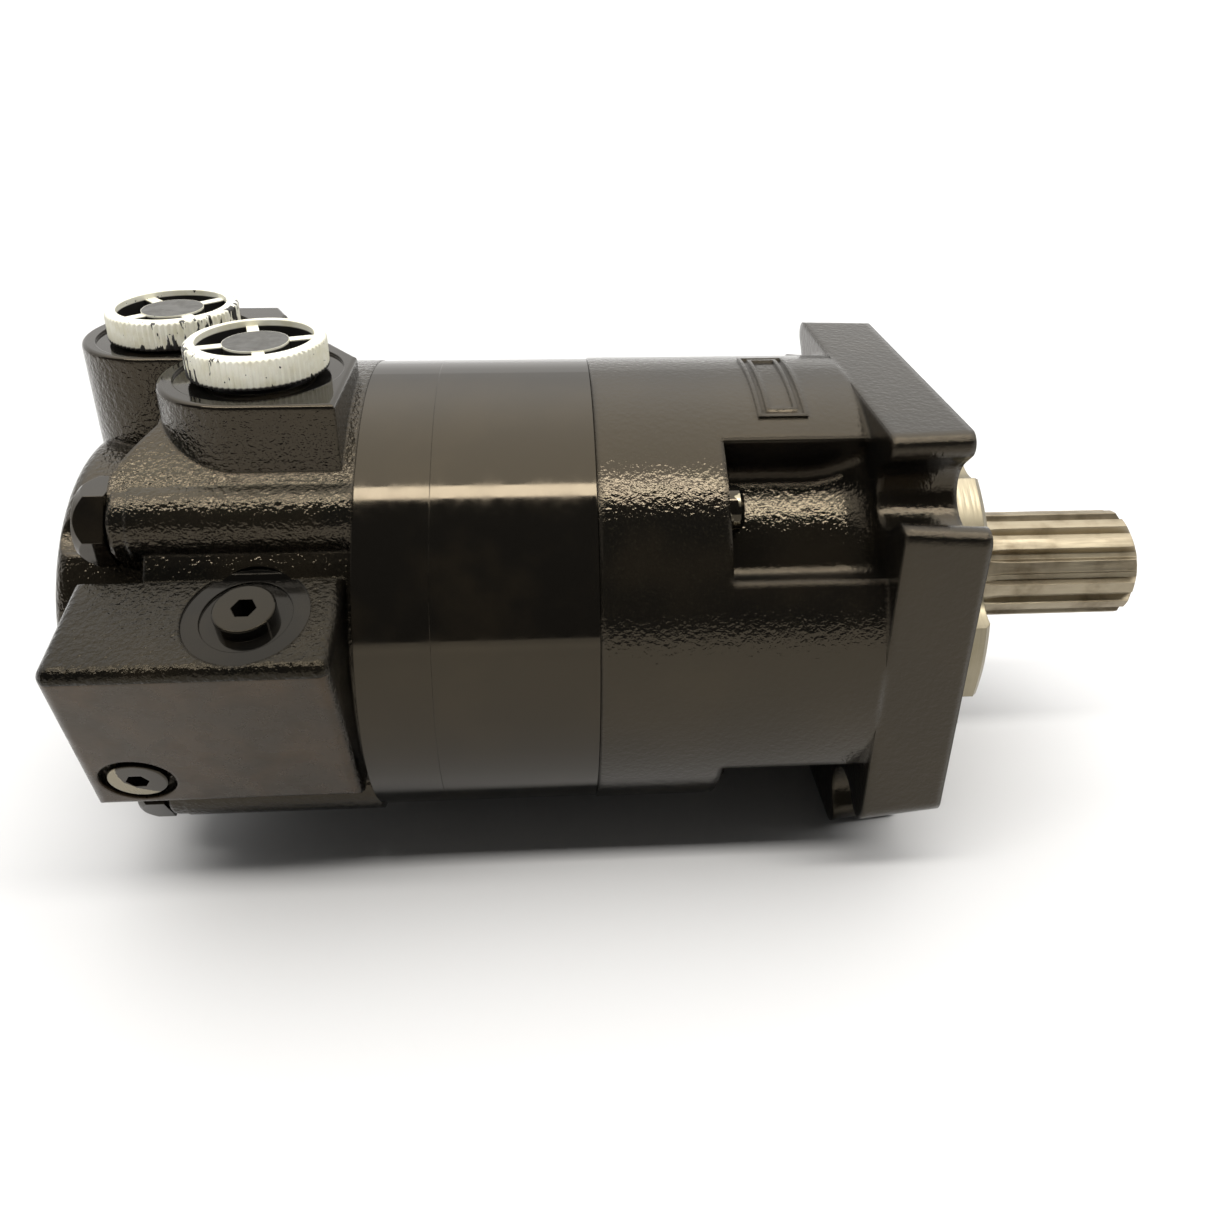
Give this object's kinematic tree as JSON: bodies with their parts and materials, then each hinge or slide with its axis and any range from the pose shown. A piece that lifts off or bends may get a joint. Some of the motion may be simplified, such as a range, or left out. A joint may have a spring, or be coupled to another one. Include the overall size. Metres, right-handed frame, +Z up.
{
  "type": "hydraulic motor",
  "caption": "Disc-valve geroler hydraulic motor with square slotted flange, splined shaft, plugged top ports and side valve block.",
  "frame": {"origin": "on the shaft axis, in the plane of the mounting face of the flange", "axes": "+X along the shaft, out of the flange; +Z up through the ports; +Y away from the side valve block"},
  "size_m": [0.3002, 0.1399, 0.1415],
  "materials": {
    "cast_paint": "gloss black paint over rough casting",
    "machined_paint": "gloss black paint over machined steel",
    "nylon": "moulded",
    "seal_rubber": "satin",
    "shaft_steel": "ground",
    "inner_steel": "ground",
    "cage_steel": "pressed"
  },
  "bodies": {
    "base": {"balance_ring": "inner_steel", "balance_springs": "inner_steel", "bearing_housing": "cast_paint", "bearing_housing_o_ring": "seal_rubber", "carrier_o_ring": "seal_rubber", "drain_plug": "machined_paint", "drain_plug_o_ring": "seal_rubber", "dust_seal": "seal_rubber", "front_bearing_cup": "inner_steel", "geroler_ring": "machined_paint", "rear_bearing_cup": "inner_steel", "relief_plug": "machined_paint", "relief_plug_o_ring": "seal_rubber", "retaining_ring": "inner_steel", "seal_carrier": "inner_steel", "shaft_seal": "seal_rubber", "shuttle_springs": "inner_steel", "spool_plug": "machined_paint", "spool_plug_o_ring": "seal_rubber", "tie_bolts": "machined_paint", "valve_housing": "cast_paint", "valve_housing_o_ring": "seal_rubber", "valve_plate": "machined_paint", "valve_plate_o_ring": "seal_rubber"},
    "shaft": {"output_shaft": "shaft_steel", "shaft_nut": "inner_steel", "front_bearing_cone": "inner_steel", "rear_bearing_cone": "inner_steel"},
    "front_cage": {"front_bearing_cage": "cage_steel", "front_bearing_rollers": "inner_steel"},
    "rear_cage": {"rear_bearing_cage": "cage_steel", "rear_bearing_rollers": "inner_steel"},
    "orbit": {"drive_spacer": "inner_steel"},
    "star": {"geroler_star": "inner_steel"},
    "drive_link": {"drive_link": "inner_steel"},
    "valve_link": {"valve_link": "inner_steel"},
    "disc_valve": {"disc_valve": "inner_steel"},
    "roller_1": {"geroler_roller_1": "inner_steel"},
    "roller_2": {"geroler_roller_2": "inner_steel"},
    "roller_3": {"geroler_roller_3": "inner_steel"},
    "roller_4": {"geroler_roller_4": "inner_steel"},
    "roller_5": {"geroler_roller_5": "inner_steel"},
    "roller_6": {"geroler_roller_6": "inner_steel"},
    "roller_7": {"geroler_roller_7": "inner_steel"},
    "shuttle": {"shuttle_spool": "inner_steel"},
    "relief_valve": {"relief_poppet": "inner_steel", "relief_spring": "inner_steel"},
    "near_plug_seal": {"near_port_plug_o_ring": "seal_rubber"},
    "near_plug": {"near_port_plug": "nylon"},
    "far_plug_seal": {"far_port_plug_o_ring": "seal_rubber"},
    "far_plug": {"far_port_plug": "nylon"}
  },
  "joints": [
    {"name": "shaft_spin", "type": "hinge", "parent": "base", "child": "shaft", "pos_m": [0, 0, 0], "axis": [1, 0, 0], "continuous": true},
    {"name": "orbit_spin", "type": "hinge", "parent": "base", "child": "orbit", "pos_m": [0, 0, 0], "axis": [1, 0, 0], "continuous": true},
    {"name": "star_spin", "type": "hinge", "parent": "orbit", "child": "star", "pos_m": [-0.11, 0.003, 0], "axis": [1, 0, 0], "continuous": true},
    {"name": "drive_link_spin", "type": "hinge", "parent": "orbit", "child": "drive_link", "pos_m": [-0.1, 0.003, 0], "axis": [0.9982, -0.0599, 0], "continuous": true},
    {"name": "valve_link_spin", "type": "hinge", "parent": "orbit", "child": "valve_link", "pos_m": [-0.119, 0.003, 0], "axis": [0.9965, 0.083, 0], "continuous": true},
    {"name": "disc_valve_spin", "type": "hinge", "parent": "base", "child": "disc_valve", "pos_m": [-0.155, 0, 0], "axis": [1, 0, 0], "continuous": true},
    {"name": "front_cage_spin", "type": "hinge", "parent": "base", "child": "front_cage", "pos_m": [-0.036, 0, 0], "axis": [1, 0, 0], "continuous": true},
    {"name": "rear_cage_spin", "type": "hinge", "parent": "base", "child": "rear_cage", "pos_m": [-0.062, 0, 0], "axis": [1, 0, 0], "continuous": true},
    {"name": "roller_1_spin", "type": "hinge", "parent": "base", "child": "roller_1", "pos_m": [-0.11, 0.036, 0], "axis": [1, 0, 0], "continuous": true},
    {"name": "roller_2_spin", "type": "hinge", "parent": "base", "child": "roller_2", "pos_m": [-0.11, 0.02245, 0.02815], "axis": [1, 0, 0], "continuous": true},
    {"name": "roller_3_spin", "type": "hinge", "parent": "base", "child": "roller_3", "pos_m": [-0.11, -0.00801, 0.0351], "axis": [1, 0, 0], "continuous": true},
    {"name": "roller_4_spin", "type": "hinge", "parent": "base", "child": "roller_4", "pos_m": [-0.11, -0.03243, 0.01562], "axis": [1, 0, 0], "continuous": true},
    {"name": "roller_5_spin", "type": "hinge", "parent": "base", "child": "roller_5", "pos_m": [-0.11, -0.03243, -0.01562], "axis": [1, 0, 0], "continuous": true},
    {"name": "roller_6_spin", "type": "hinge", "parent": "base", "child": "roller_6", "pos_m": [-0.11, -0.00801, -0.0351], "axis": [1, 0, 0], "continuous": true},
    {"name": "roller_7_spin", "type": "hinge", "parent": "base", "child": "roller_7", "pos_m": [-0.11, 0.02245, -0.02815], "axis": [1, 0, 0], "continuous": true},
    {"name": "shuttle_slide", "type": "slide", "parent": "base", "child": "shuttle", "axis": [1, 0, 0], "range_m": [-0.0025, 0.0025], "stiffness_N_per_m": 200},
    {"name": "relief_lift", "type": "slide", "parent": "base", "child": "relief_valve", "axis": [0, -0.9397, -0.342], "range_m": [0, 0.0015], "stiffness_N_per_m": 200, "springref_m": -0.002},
    {"name": "near_plug_lift", "type": "slide", "parent": "base", "child": "near_plug_seal", "axis": [0, 0, 1], "range_m": [0, 0.022]},
    {"name": "near_plug_turn", "type": "hinge", "parent": "near_plug_seal", "child": "near_plug", "pos_m": [-0.1736, -0.0124, 0.069], "axis": [0, 0, 1], "range_deg": [0, 3741.73]},
    {"name": "far_plug_lift", "type": "slide", "parent": "base", "child": "far_plug_seal", "axis": [0, 0, 1], "range_m": [0, 0.022]},
    {"name": "far_plug_turn", "type": "hinge", "parent": "far_plug_seal", "child": "far_plug", "pos_m": [-0.2037, 0.0196, 0.069], "axis": [0, 0, 1], "range_deg": [0, 3741.73]}
  ],
  "couplings": [
    {"joint": "orbit_spin", "follows": "shaft_spin", "ratio": -6},
    {"joint": "star_spin", "follows": "shaft_spin", "ratio": 7},
    {"joint": "drive_link_spin", "follows": "shaft_spin", "ratio": 7},
    {"joint": "valve_link_spin", "follows": "shaft_spin", "ratio": 7},
    {"joint": "disc_valve_spin", "follows": "shaft_spin", "ratio": 1},
    {"joint": "front_cage_spin", "follows": "shaft_spin", "ratio": 0.4424},
    {"joint": "rear_cage_spin", "follows": "shaft_spin", "ratio": 0.4424},
    {"joint": "near_plug_turn", "follows": "near_plug_lift", "rad_per_m": 2968.4},
    {"joint": "far_plug_turn", "follows": "far_plug_lift", "rad_per_m": 2968.4}
  ]
}
